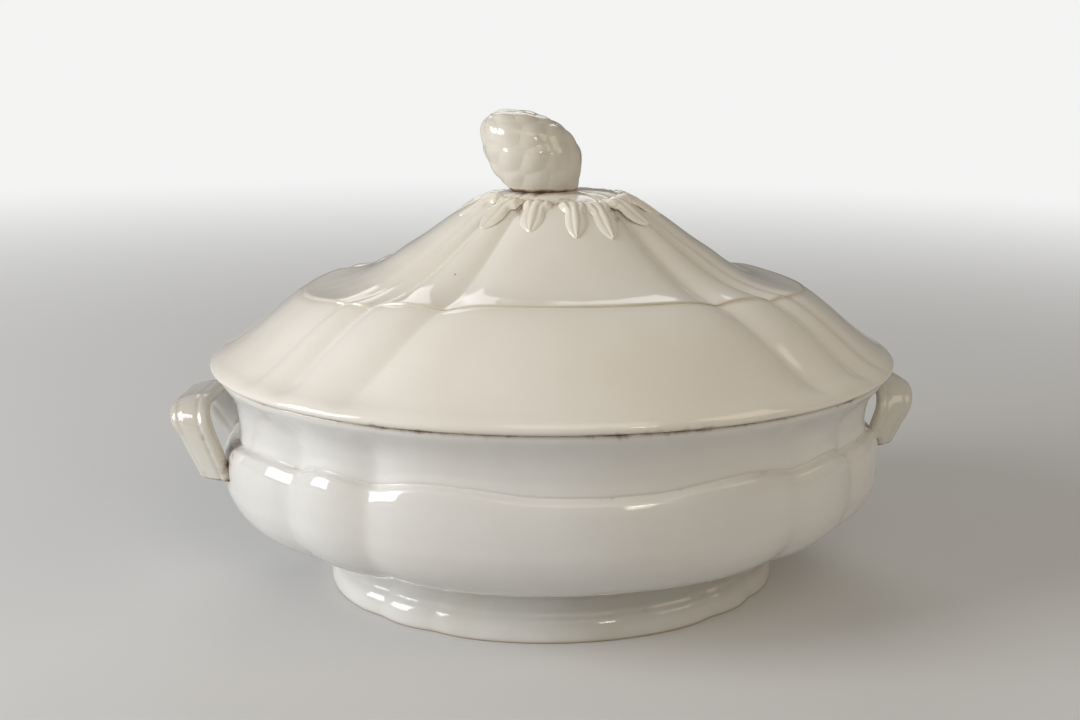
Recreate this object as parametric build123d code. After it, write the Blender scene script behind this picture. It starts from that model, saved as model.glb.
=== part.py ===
from build123d import *
from math import atan2, cos, exp, hypot, pi, radians, sin
import os

# A covered oval soup tureen: bowl on a spreading foot, strap handles on the ends, domed lid with a fruit
# knob and a wreath of leaves. X runs along the oval, Y across it, Z up. The origin is on the table under
# the middle of the foot.

# Overall sizes
plan_ratio = 0.785  # width of the oval over its length
crown_ratio = 0.9  # the same at the middle of the lid
rim_height = 106.0  # where the lid rests on the bowl
rim_half = 156.0  # half length of the bowl's lip
belly_tuck = 2.8  # that the bulging belly stands in from the lip
foot_height = 21.5
foot_half = 108.0  # half length of the foot where it spreads widest
foot_spread = 14.0  # that the foot stands out past the bowl's flat base
lid_overhang = 3.4  # that the lid's rounded edge stands out past the lip
ring_inset = 42.4  # from the lid's edge to its raised ring
ring_rise = 33.5  # from the rim to the ring at the ends of the oval
dome_rise = 79.0  # from the rim to the flat top of the dome under the knob
crown_half = 24.0
end_sharpness = 1.9  # how quickly the lid's end outline gives way to its front one

# Walls and fits
bowl_wall = 5.0
bowl_floor = 6.0
foot_wall = 6.0
lid_wall = 4.5
luting_gap = 0.2  # between a curved piece and what it is luted on
lid_play = 3.0  # between the lid's locating verge and the bowl's mouth
verge_depth = 7.5
verge_wall = 4.0

# The eight soft grooves that part the oval into lobes: angles in the oval's own parameter
bowl_grooves = (radians(54), radians(37))
lid_rim_grooves = (radians(51.5), radians(38))
lid_ring_grooves = (radians(59), radians(38))
crown_grooves = (radians(53), radians(34))
groove_width = 0.09
bowl_groove_depth = 2.4
foot_groove_depth = 1.5
lid_groove_depth = 1.6
lip_fade = 14.0  # height over which the bowl's grooves run out below its lip
base_fade = 10.0  # and above its base
foot_fade = 6.0  # and below the top of the foot
rings_faded = 5.0  # number of the lid's outline points over which its grooves run out

# Strap handles
strap_width = 17.0
strap_thickness = 6.5
strap_radius = 2.8  # rounding of the strap's edges
strap_splay = 22.0  # degrees that the legs' outer faces turn outwards
bar_tilt = 14.0  # degrees that the top bar slopes down outwards
handle_corner = 7.0  # length of each bend's run
leg_foot_drop = 41.0  # from the rim to the foot of each leg
leg_foot_half_span = 27.0
leg_foot_out = 0.8  # centre of a leg's foot past the belly
bar_drop = 17.5  # from the rim to the middle of the bar
bar_half_span = 21.0
bar_out = 12.3  # middle of the bar past the belly
# each handle was luted on by hand: its side, how far it stands further out, its lift, its turn in degrees
handle_settings = {
    "handle_left": (-1, 0.5, 0.0, 9.0),
    "handle_right": (1, -1.4, 2.0, 0.0),
}

# Knob and leaves
knob_offset = 11.0  # towards -X
knob_rise = 14.0  # middle of the knob above the crown
knob_length = 50.0
knob_width = 39.0
knob_tilt = 49.0  # degrees that the knob leans from upright
leaf_count = 14
leaf_first_angle = -66.0  # degrees round from +X
leaf_clearance = 9.5  # from half the knob's width to the leaves' roots
leaf_length = 18.0
leaf_width = 13.0
leaf_root_share = 0.55  # width at the root over the greatest width
leaf_belly_share = 0.4  # how far along the leaf it is widest
leaf_relief = 1.8

section_points = 88
outline_rise = 84.5  # bowl height that the offsets of its outline are given for

# Sizes that follow from those above
belly_half = rim_half - belly_tuck
base_half = foot_half - foot_spread
lid_half = rim_half + lid_overhang
ring_half = lid_half - ring_inset
ring_height = rim_height + ring_rise
crown_height = rim_height + dome_rise
leg_foot_height = rim_height - leg_foot_drop
leg_foot_reach = belly_half + leg_foot_out
bar_height = rim_height - bar_drop
bar_reach = belly_half + bar_out
knob_centre = (-knob_offset, 0.0, crown_height + knob_rise)
leaf_root = knob_width / 2 + leaf_clearance
leaf_tip = leaf_root + leaf_length
rise = (rim_height - foot_height) / outline_rise
cutter_size = 200.0  # wider than anything it cuts


def groove(angle, centres):
    """How deep in a groove an angle lies, 0 to 1, with the oval's two mirror planes."""
    turn = abs(atan2(sin(angle), cos(angle)))
    turn = min(turn, pi - turn)
    return sum(exp(-(((turn - centre) / groove_width) ** 2)) for centre in centres)


def plan_point(angle, half_length, ratio, inward):
    """A point of the oval, moved inwards square to its outline."""
    across = hypot(ratio * cos(angle), sin(angle))
    x = half_length * cos(angle) - inward * ratio * cos(angle) / across
    y = half_length * ratio * sin(angle) - inward * sin(angle) / across
    return x, y


def closed_wire(points):
    knots = [index / len(points) for index in range(len(points) + 1)]
    return Wire([Edge.make_spline(points, periodic=True, parameters=knots)])


def block_below(x, level):
    return Pos(x, 0, level - cutter_size / 2) * Box(cutter_size, cutter_size, cutter_size)


def section_angles():
    return [2 * pi * index / section_points for index in range(section_points)]


def outward(outline, index):
    """Unit normal (out, up) of an outline at one of its points."""
    before = outline[max(index - 1, 0)]
    after = outline[min(index + 1, len(outline) - 1)]
    run, rise = after[0] - before[0], after[1] - before[1]
    length = hypot(run, rise)
    return rise / length, -run / length


def flat_section(half_length, height, inward, grooves, depth):
    points = []
    for angle in section_angles():
        x, y = plan_point(angle, half_length, plan_ratio, inward + depth * groove(angle, grooves))
        points.append((x, y, height))
    return closed_wire(points)


# From the flat base up: tucked under, full belly, a step, a shallow neck and a flaring lip
bowl_outline = [
    (base_half, foot_height),
    (base_half + 11.0, foot_height + 1.6 * rise),
    (base_half + 25.0, foot_height + 4.8 * rise),
    (base_half + 38.0, foot_height + 9.8 * rise),
    (belly_half - 10.5, foot_height + 15.8 * rise),
    (belly_half - 4.6, foot_height + 22.0 * rise),
    (belly_half - 1.2, foot_height + 29.0 * rise),
    (belly_half, foot_height + 38.0 * rise),
    (belly_half - 0.5, rim_height - 37.0 * rise),
    (belly_half - 2.6, rim_height - 31.5 * rise),
    (belly_half - 5.0, rim_height - 27.0 * rise),
    (belly_half - 5.0, rim_height - 20.0 * rise),
    (belly_half - 3.4, rim_height - 13.0 * rise),
    (rim_half - 3.0, rim_height - 6.5 * rise),
    (rim_half - 0.4, rim_height - 2.4 * rise),
    (rim_half, rim_height),
]


def groove_fade(height):
    """The bowl's grooves run out below the lip and above the base."""
    near_lip = min(1.0, max(0.0, (rim_height - height) / lip_fade))
    near_base = min(1.0, max(0.0, (height - foot_height) / base_fade))
    return bowl_groove_depth * near_lip * near_base


def bowl_body(grown=0.0):
    """The bowl's outer shape as one solid, grown by a clearance."""
    sections = []
    for half_length, height in bowl_outline:
        sections.append(flat_section(half_length + grown, height, 0.0, bowl_grooves, groove_fade(height)))
    return Solid.make_loft(sections)


def bowl_hollow():
    inside_floor = foot_height + bowl_floor
    sections = []
    for index, (half_length, height) in enumerate(bowl_outline):
        out, up = outward(bowl_outline, index)
        inner_height = height - bowl_wall * up
        if inner_height > inside_floor + 2.0 and index < len(bowl_outline) - 1:
            sections.append((half_length, inner_height, bowl_wall * out, groove_fade(height)))
    lowest = sections[0]
    floor_section = (lowest[0] - 14.0, inside_floor, lowest[2], 0.0)
    mouth_section = (rim_half, rim_height + 1.0, bowl_wall, 0.0)
    wires = []
    for half_length, height, inward, depth in [floor_section, *sections, mouth_section]:
        wires.append(flat_section(half_length, height, inward, bowl_grooves, depth))
    return Solid.make_loft(wires)


def make_bowl():
    return bowl_body() - bowl_hollow()


# From the flat top down: a cove, a mid ridge and a rounded lower edge
foot_outline = [
    (base_half, foot_height),
    (base_half + 2.2, foot_height - 4.0),
    (foot_half - 8.5, foot_height - 7.5),
    (foot_half - 4.0, foot_height - 11.3),
    (foot_half - 1.4, foot_height - 13.5),
    (foot_half, 4.6),
    (foot_half, 2.0),
    (foot_half - 0.8, 0.0),
]


def make_foot():
    outer, inner = [], []
    for index, (half_length, height) in enumerate(foot_outline):
        depth = foot_groove_depth * min(1.0, (foot_height - height) / foot_fade)
        outer.append(flat_section(half_length, height, 0.0, bowl_grooves, depth))
        inner.append((half_length, height, depth))
    inner[0] = (inner[0][0], foot_height + 1.0, 0.0)
    inner[-1] = (inner[-1][0], -1.0, foot_groove_depth)
    recess = [flat_section(half, height, foot_wall, bowl_grooves, depth) for half, height, depth in inner]
    return Solid.make_loft(outer) - Solid.make_loft(recess)


# Half length and height of the dome's outline at the ends of the oval, then those at its front and back:
# rounded edge, hollow shoulder, raised ring, then an ogee up to the flat crown
ring_front_half = ring_half - 11.5
ring_front_height = ring_height + 7.9
lid_outline = [
    (lid_half - 2.6, rim_height, lid_half - 2.6, rim_height),
    (lid_half - 0.6, rim_height + 0.8, lid_half - 0.6, rim_height + 0.8),
    (lid_half, rim_height + 2.4, lid_half, rim_height + 2.4),
    (lid_half - 1.9, rim_height + 4.8, lid_half - 1.9, rim_height + 5.0),
    (lid_half - 6.9, rim_height + 7.5, lid_half - 7.9, rim_height + 9.2),
    (ring_half + 28.5, ring_height - 21.1, ring_front_half + 37.0, ring_front_height - 24.6),
    (ring_half + 20.5, ring_height - 15.1, ring_front_half + 27.0, ring_front_height - 15.8),
    (ring_half + 12.0, ring_height - 8.1, ring_front_half + 16.5, ring_front_height - 7.8),
    (ring_half + 4.5, ring_height - 2.5, ring_front_half + 6.5, ring_front_height - 2.2),
    (ring_half, ring_height, ring_front_half, ring_front_height),
    (ring_half - 4.5, ring_height + 1.4, ring_front_half - 4.5, ring_front_height + 1.4),
    (ring_half - 13.0, ring_height + 3.5, ring_front_half - 11.0, ring_front_height + 3.0),
    (ring_half - 23.5, ring_height + 6.9, ring_front_half - 20.0, ring_front_height + 6.0),
    (crown_half + 58.0, crown_height - 33.2, crown_half + 51.5, crown_height - 27.0),
    (crown_half + 47.0, crown_height - 26.6, crown_half + 41.0, crown_height - 21.4),
    (crown_half + 34.5, crown_height - 18.0, crown_half + 31.0, crown_height - 15.2),
    (crown_half + 22.0, crown_height - 9.6, crown_half + 22.0, crown_height - 9.8),
    (crown_half + 10.0, crown_height - 3.4, crown_half + 10.0, crown_height - 3.4),
    (crown_half, crown_height, crown_half, crown_height),
]


ring_index = 9
inside_index = 5  # first outline point that the lid's hollow follows


def lid_ratio(half_length):
    """The oval grows rounder from the ring to the crown."""
    return plan_ratio + (crown_ratio - plan_ratio) * max(0.0, 1.0 - half_length / ring_half)


def lid_grooves(index):
    last = len(lid_outline) - 1
    if index <= ring_index:
        share = index / ring_index
        ends = (lid_rim_grooves, lid_ring_grooves)
    else:
        share = (index - ring_index) / (last - ring_index)
        ends = (lid_ring_grooves, crown_grooves)
    return [low + (high - low) * share for low, high in zip(*ends)]


def lid_section(index, grown, level=None):
    """One ring of the dome at an outline point, grown outwards, or inwards if grown is below 0."""
    end_half, end_height, front_half, front_height = lid_outline[index]
    end_out, end_up = outward([row[:2] for row in lid_outline], index)
    front_out, front_up = outward([row[2:] for row in lid_outline], index)
    from_edge, from_crown = index, len(lid_outline) - 1 - index
    fade = min(1.0, from_edge / rings_faded) * min(1.0, from_crown / rings_faded)
    grooves = lid_grooves(index)
    points = []
    for angle in section_angles():
        endness = (cos(angle) ** 2) ** end_sharpness
        half_length = front_half + (end_half - front_half) * endness
        height = front_height + (end_height - front_height) * endness
        out = front_out + (end_out - front_out) * endness
        up = front_up + (end_up - front_up) * endness
        sunk = lid_groove_depth * fade * groove(angle, grooves) - grown
        x, y = plan_point(angle, half_length, lid_ratio(half_length), sunk * out)
        points.append((x, y, height - sunk * up if level is None else level))
    return closed_wire(points)


def dome_body(grown=0.0):
    last = len(lid_outline) - 1
    sections = [lid_section(index, grown) for index in range(1, last)]
    bottom = lid_section(0, grown, rim_height)
    top = lid_section(last, grown, crown_height + grown)
    return Solid.make_loft([bottom, *sections, top])


def bowl_half_at(height):
    """Half length of the bowl's outside at a height."""
    for lower, upper in zip(bowl_outline, bowl_outline[1:]):
        if lower[1] <= height <= upper[1]:
            share = (height - lower[1]) / (upper[1] - lower[1])
            return lower[0] + (upper[0] - lower[0]) * share
    return rim_half


verge_oval = bowl_half_at(rim_height - verge_depth)
verge_outside = bowl_wall + lid_play
verge_inside = verge_outside + verge_wall


def dome_hollow():
    """The lid's inside: straight up from the verge, then a wall's thickness under the dome."""
    last = len(lid_outline) - 1
    below = flat_section(verge_oval, rim_height - 1.0, verge_inside, lid_rim_grooves, 0.0)
    above = flat_section(verge_oval, rim_height + 3.0, verge_inside, lid_rim_grooves, 0.0)
    sections = [lid_section(index, -lid_wall) for index in range(inside_index, last)]
    top = lid_section(last, -lid_wall, crown_height - lid_wall)
    return Solid.make_loft([below, above, *sections, top])


def make_lid_dome():
    return dome_body() - dome_hollow()


def make_lid_verge():
    """The ring under the lid that drops inside the bowl's mouth."""
    top, bottom = rim_height, rim_height - verge_depth
    outer = [flat_section(verge_oval, z, verge_outside, bowl_grooves, 0.0) for z in (bottom, top)]
    inner = [flat_section(verge_oval, z, verge_inside, bowl_grooves, 0.0) for z in (bottom - 1, top + 1)]
    return Solid.make_loft(outer) - Solid.make_loft(inner)


def strap_route(side, stand_off, lift, turn):
    """Corners of the strap's centre line: foot, bend, bend, foot, from front to back."""
    foot = Vector(leg_foot_reach + stand_off, -leg_foot_half_span, leg_foot_height + lift)
    bend = Vector(bar_reach + stand_off, -bar_half_span, bar_height + lift)
    foot_below = foot + (foot - bend).normalized() * strap_width
    far_bend = Vector(bend.X, -bend.Y, bend.Z)
    far_foot_below = Vector(foot_below.X, -foot_below.Y, foot_below.Z)
    corners = [foot_below, bend, far_bend, far_foot_below]
    pivot = Axis((leg_foot_reach, 0, 0), (0, 0, 1))
    turned = [Vertex(*corner).rotate(pivot, turn).center() for corner in corners]
    return [Vector(side * point.X, point.Y, point.Z) for point in turned]


def bend_point(start, corner, end, share):
    return start * (1 - share) ** 2 + corner * (2 * share * (1 - share)) + end * share**2


def strap_stations(corners):
    """Points and directions along the strap, close together round its two bends."""
    foot, bend, far_bend, far_foot = corners
    first = bend + (foot - bend).normalized() * handle_corner
    second = bend + (far_bend - bend).normalized() * handle_corner
    third = far_bend + (bend - far_bend).normalized() * handle_corner
    fourth = far_bend + (far_foot - far_bend).normalized() * handle_corner
    stations = [(foot + (first - foot) * share, first - foot) for share in (0, 0.25, 0.5, 0.75)]
    for share in (0, 0.25, 0.5, 0.75, 1):
        direction = (bend - first) * (1 - share) + (second - bend) * share
        stations.append((bend_point(first, bend, second, share), direction))
    stations += [(second + (third - second) * share, third - second) for share in (0.33, 0.67)]
    for share in (0, 0.25, 0.5, 0.75, 1):
        direction = (far_bend - third) * (1 - share) + (fourth - far_bend) * share
        stations.append((bend_point(third, far_bend, fourth, share), direction))
    stations += [(fourth + (far_foot - fourth) * share, far_foot - fourth) for share in (0.25, 0.5, 0.75, 1)]
    return stations


def make_handle(side, stand_off, lift, turn):
    corners = strap_route(side, stand_off, lift, turn)
    stations = strap_stations(corners)
    splay, tilt = radians(strap_splay), radians(bar_tilt)
    sections = []
    for index, (point, direction) in enumerate(stations):
        direction = direction.normalized()
        along_bar = direction.Y**2
        towards_middle = 1 if index < len(stations) / 2 else -1
        leg_across = Vector(side * cos(splay), towards_middle * sin(splay), 0)
        bar_across = Vector(side * cos(tilt), 0, -sin(tilt))
        across = leg_across * (1 - along_bar) + bar_across * along_bar
        across = (across - direction * across.dot(direction)).normalized()
        plane = Plane(origin=point, x_dir=across, z_dir=direction)
        sections.append(plane * RectangleRounded(strap_width, strap_thickness, strap_radius))
    strap = loft(sections)
    foot_level = leg_foot_height + lift
    return strap - block_below(side * leg_foot_reach, foot_level) - bowl_body(luting_gap)


def make_knob():
    """A plump bud that leans over, cut flat where it is luted on the crown."""
    half_width = knob_width / 2
    bud = scale(Sphere(half_width), by=(1, 1, knob_length / knob_width))
    leaning = Pos(*knob_centre) * Rot(0, -knob_tilt, 0) * bud
    return leaning - block_below(0, crown_height)


def make_leaf(angle, under, over):
    """A pointed leaf lying on the dome, its tip away from the knob."""
    half = leaf_width / 2
    root_half = half * leaf_root_share
    belly = leaf_root + (leaf_tip - leaf_root) * leaf_belly_share
    with BuildPart() as prism:
        with BuildSketch(Plane.XY.offset(rim_height)):
            with BuildLine():
                Line((leaf_root, -root_half), (leaf_root, root_half))
                Spline((leaf_root, root_half), (belly, half), (leaf_tip, 0))
                Spline((leaf_tip, 0), (belly, -half), (leaf_root, -root_half))
            make_face()
        extrude(amount=crown_height)
    turned = Rot(0, 0, angle) * prism.part
    return (turned & over) - under


def write(node, shape):
    """One solid for each node; a cut's crumbs are left out."""
    export_step(max(shape.solids(), key=lambda solid: solid.volume), f"parts/{node}.step")


os.makedirs("parts", exist_ok=True)
write("bowl", make_bowl())
write("foot", make_foot())
write("lid_dome", make_lid_dome())
write("lid_verge", make_lid_verge())
write("knob", make_knob())
for node, settings in handle_settings.items():
    write(node, make_handle(*settings))
dome_under = dome_body(luting_gap)
dome_over = dome_body(luting_gap + leaf_relief)
for number in range(leaf_count):
    leaf_angle = leaf_first_angle + number * 360 / leaf_count
    write(f"leaf_{number + 1:02d}", make_leaf(leaf_angle, dome_under, dome_over))
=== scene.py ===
import math
import bpy
import numpy as np
from mathutils import Matrix, Vector


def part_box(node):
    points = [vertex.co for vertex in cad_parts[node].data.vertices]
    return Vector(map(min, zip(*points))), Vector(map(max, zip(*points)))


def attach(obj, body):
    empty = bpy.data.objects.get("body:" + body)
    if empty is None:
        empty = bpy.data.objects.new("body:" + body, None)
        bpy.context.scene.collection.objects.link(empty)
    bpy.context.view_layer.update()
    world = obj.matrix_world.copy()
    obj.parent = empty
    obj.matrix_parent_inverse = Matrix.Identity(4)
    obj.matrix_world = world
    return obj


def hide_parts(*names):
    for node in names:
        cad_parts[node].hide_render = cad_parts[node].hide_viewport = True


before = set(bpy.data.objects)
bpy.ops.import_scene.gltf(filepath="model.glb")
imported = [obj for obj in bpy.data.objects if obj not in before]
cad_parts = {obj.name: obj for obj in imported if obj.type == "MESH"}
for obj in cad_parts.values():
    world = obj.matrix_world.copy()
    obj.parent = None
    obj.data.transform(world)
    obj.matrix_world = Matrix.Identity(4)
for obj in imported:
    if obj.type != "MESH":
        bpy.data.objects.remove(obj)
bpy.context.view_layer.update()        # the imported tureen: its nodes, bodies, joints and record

# Covered oval soup tureen in glazed white ironstone. Shapes are worked out in millimetres
# and laid down in metres. X runs along the oval, Y across it, Z up from the table.
mm = 0.001
fullTurn = 2 * np.pi


def boxOf(node):  # a CAD node's lowest and highest corners, in millimetres
    low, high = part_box(node)
    return np.array(low) / mm, np.array(high) / mm


bowlHigh = boxOf("bowl")[1]
footHigh = boxOf("foot")[1]
lidHigh = boxOf("lid_dome")[1]
vergeLow, vergeHigh = boxOf("lid_verge")

plan = {
    "ratio": 0.785,  # width of the oval over its length
    "crownRatio": 0.9,  # the same at the middle of the lid
    "rimHeight": bowlHigh[2],
    "rimHalf": bowlHigh[0],
    "footHeight": footHigh[2],
    "footHalf": footHigh[0],
    "lidHalf": lidHigh[0] - 0.06,  # a hair inside the CAD lid
    "crownHeight": lidHigh[2] - 0.02,
}


# Shared shape tools

def curveThrough(stations, values, where):
    # cubic pieces through the values; each slope is the harmonic mean of its two chords' slopes
    stations, values = np.asarray(stations, float), np.asarray(values, float)
    chord = np.diff(values) / np.diff(stations)
    product = chord[:-1] * chord[1:]
    total = chord[:-1] + chord[1:]
    middle = np.where(product > 0, 2 * product / np.where(np.abs(total) < 1e-12, 1, total), 0)
    slope = np.concatenate([chord[:1], middle, chord[-1:]])
    piece = np.clip(np.searchsorted(stations, where, side="right") - 1, 0, len(chord) - 1)
    width = np.diff(stations)[piece]
    t = (where - stations[piece]) / width
    return ((1 + 2 * t) * (1 - t) ** 2 * values[piece] + t * (1 - t) ** 2 * width * slope[piece]
            + t * t * (3 - 2 * t) * values[piece + 1] + t * t * (t - 1) * width * slope[piece + 1])


def alongProfile(points, shares):
    # half lengths and heights at shares of the profile's own length
    points = np.asarray(points, float)
    run = np.concatenate([[0], np.cumsum(np.hypot(*np.diff(points, axis=0).T))])
    run /= run[-1]
    return curveThrough(run, points[:, 0], shares), curveThrough(run, points[:, 1], shares)


def foldAngle(angle):  # 0 at the ends of the oval, a quarter turn at its front and back
    turn = np.abs((angle + np.pi) % fullTurn - np.pi)
    return np.minimum(turn, np.pi - turn)


def grooveDepth(angle, centre, width, cusp=1.5):
    # 1 in the valley line, falling off as exp(-(distance / width) ^ cusp)
    return np.exp(-(np.abs(foldAngle(angle) - centre) / width) ** cusp)


def smoothStep(low, high, value):
    t = np.clip((value - low) / (high - low), 0, 1)
    return t * t * (3 - 2 * t)


def unit(vectors):
    return vectors / np.linalg.norm(vectors, axis=-1, keepdims=True)


def ovalPoint(angle, half, ratio, inward):
    # a point of the oval, moved inwards square to its outline
    across = np.hypot(ratio * np.cos(angle), np.sin(angle))
    x = half * np.cos(angle) - inward * ratio * np.cos(angle) / across
    y = half * ratio * np.sin(angle) - inward * np.sin(angle) / across
    return x, y


def layMesh(name, rings, material, loop=False, marks=None):
    # rings: rows x columns x 3, closed round the columns; loop closes the rows too, else both
    # ends get a pole. marks: values per point that the glaze reads; a pole takes the last one
    rows, columns = rings.shape[:2]
    places = rings.reshape(-1, 3)
    index = np.arange(rows * columns).reshape(rows, columns)
    if loop:
        index = np.vstack([index, index[:1]])
    beside = np.roll(index, -1, axis=1)
    quads = np.stack([index[:-1], beside[:-1], beside[1:], index[1:]], -1).reshape(-1, 4)
    fans = np.zeros((0, 3), int)
    if not loop:
        first, last = rows * columns, rows * columns + 1
        places = np.vstack([places, rings[0].mean(0), rings[-1].mean(0)])
        fans = np.vstack([
            np.stack([np.full(columns, first), beside[0], index[0]], -1),
            np.stack([np.full(columns, last), index[-1], beside[-1]], -1)])
    a, b, c, d = (places[quads[:, k]] for k in range(4))
    volume = np.sum(np.cross(b - a, c - a) * a) + np.sum(np.cross(c - a, d - a) * a)
    if volume < 0:  # faces point outwards
        quads, fans = quads[:, ::-1], fans[:, ::-1]
    corners = np.concatenate([quads.ravel(), fans.ravel()]).astype(np.int32)
    starts = np.concatenate([np.arange(len(quads)) * 4, len(quads) * 4 + np.arange(len(fans)) * 3])
    mesh = bpy.data.meshes.new(name)
    mesh.vertices.add(len(places))
    mesh.vertices.foreach_set("co", (places * mm).astype(np.float32).ravel())
    mesh.loops.add(len(corners))
    mesh.loops.foreach_set("vertex_index", corners)
    mesh.polygons.add(len(starts))
    mesh.polygons.foreach_set("loop_start", starts.astype(np.int32))
    mesh.polygons.foreach_set("use_smooth", np.ones(len(starts), bool))
    for mark, values in (marks or {}).items():
        flat = np.asarray(values, np.float32).ravel()
        flat = np.concatenate([flat, np.full(len(places) - len(flat), flat[-1])])
        mesh.attributes.new(mark, "FLOAT", "POINT").data.foreach_set("value", flat)
    mesh.update(calc_edges=True)
    mesh.validate()
    mesh.materials.append(material)
    piece = bpy.data.objects.new(name, mesh)
    bpy.context.scene.collection.objects.link(piece)
    return piece


def settle(piece, body, slotName, *nodes):  # rides on its body and stands for its CAD nodes
    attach(piece, body)
    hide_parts(*nodes)
    print("made", piece.name, len(piece.data.polygons), "faces")


# Glazes

def addNode(tree, kind, links=None, values=None, **settings):
    # settings go on the node, values and links on its inputs, by name or number
    node = tree.nodes.new(kind)
    for key, value in settings.items():
        setattr(node, key, value)
    for key, value in (values or {}).items():
        node.inputs[key].default_value = value
    for key, socket in (links or {}).items():
        tree.links.new(socket, node.inputs[key])
    return node


def mixColours(tree, share, first, second):
    # first and second are colours or sockets
    node = addNode(tree, "ShaderNodeMix", {0: share}, data_type="RGBA")
    for number, colour in ((6, first), (7, second)):
        if isinstance(colour, tuple):
            node.inputs[number].default_value = (*colour, 1)
        else:
            tree.links.new(colour, node.inputs[number])
    return node.outputs[2]


def maths(tree, operation, first, second):
    node = addNode(tree, "ShaderNodeMath", operation=operation)
    for number, value in ((0, first), (1, second)):
        if isinstance(value, (int, float)):
            node.inputs[number].default_value = value
        else:
            tree.links.new(value, node.inputs[number])
    return node.outputs[0]


def times(tree, first, second):
    return maths(tree, "MULTIPLY", first, second)


def ramp(tree, value, low, high, toLow=0.0, toHigh=1.0):  # a smooth step from low to high
    node = addNode(tree, "ShaderNodeMapRange", {"Value": value}, interpolation_type="SMOOTHSTEP",
                   values={"From Min": low, "From Max": high, "To Min": toLow, "To Max": toHigh})
    return node.outputs[0]


def noise(tree, place, scale, detail=2.0, roughness=0.5):
    return addNode(tree, "ShaderNodeTexNoise", {"Vector": place},
                   {"Scale": scale, "Detail": detail, "Roughness": roughness}).outputs[0]


def newGroup(name, inputs, outputs):
    tree = bpy.data.node_groups.new(name, "ShaderNodeTree")
    for label, kind, value in inputs:
        socket = tree.interface.new_socket(label, in_out="INPUT", socket_type=kind)
        socket.default_value = value
    for label, kind in outputs:
        tree.interface.new_socket(label, in_out="OUTPUT", socket_type=kind)
    return tree, tree.nodes.new("NodeGroupInput"), tree.nodes.new("NodeGroupOutput")


# what the kiln and long use did, and the painted shade that takes the stain colour: scales are per metre,
# pairs are where a smooth step starts and ends
aged = {
    "broadScale": 11, "clouds": (0.38, 0.66),
    "fineScale": 95, "mottling": (0.45, 0.75), "mottlingShare": 0.16,
    "thinColour": (0.50, 0.36, 0.20), "thinShare": 0.55,
    "bendScale": 60.0, "bendReach": (0.004, 0.004, 0.004),  # metres that the crazing wanders
    "crazeScale": 150.0, "crazeLine": (0.004, 0.022), "crazeColour": (0.36, 0.27, 0.16), "crazeShare": 0.30,
    "patchScale": 17, "patches": (0.42, 0.62),
    "pinholeScale": 62.0, "pinholeSize": 0.030, "pinholeRarity": 0.80, "pinholeColour": (0.13, 0.075, 0.035),
    "grainScale": 130, "blotchScale": 28, "blotchShare": 0.6, "stainShadeMiddle": 0.8, "stainShadeBreak": 2.2,
    "stainShadeEdge": (0.30, 1.05), "stainShadeFade": (0.02, 0.25),
    "rough": 0.055, "roughMottling": 0.06, "roughStainShade": 0.30, "roughThin": 0.18,
    "rippleScale": 48, "crazeDip": 0.06, "pinholeDip": 0.4,
    # the stain colour also paints shade in seams, crevices and at the knob's foot
    "stainAndShadeColour": (0.17, 0.075, 0.022), "crazing": 0.1, "specks": 0.7,  # the same in every glaze below
    "ripple": 0.0006, "rippleStrength": 0.6, "ior": 1.52,
}


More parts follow.
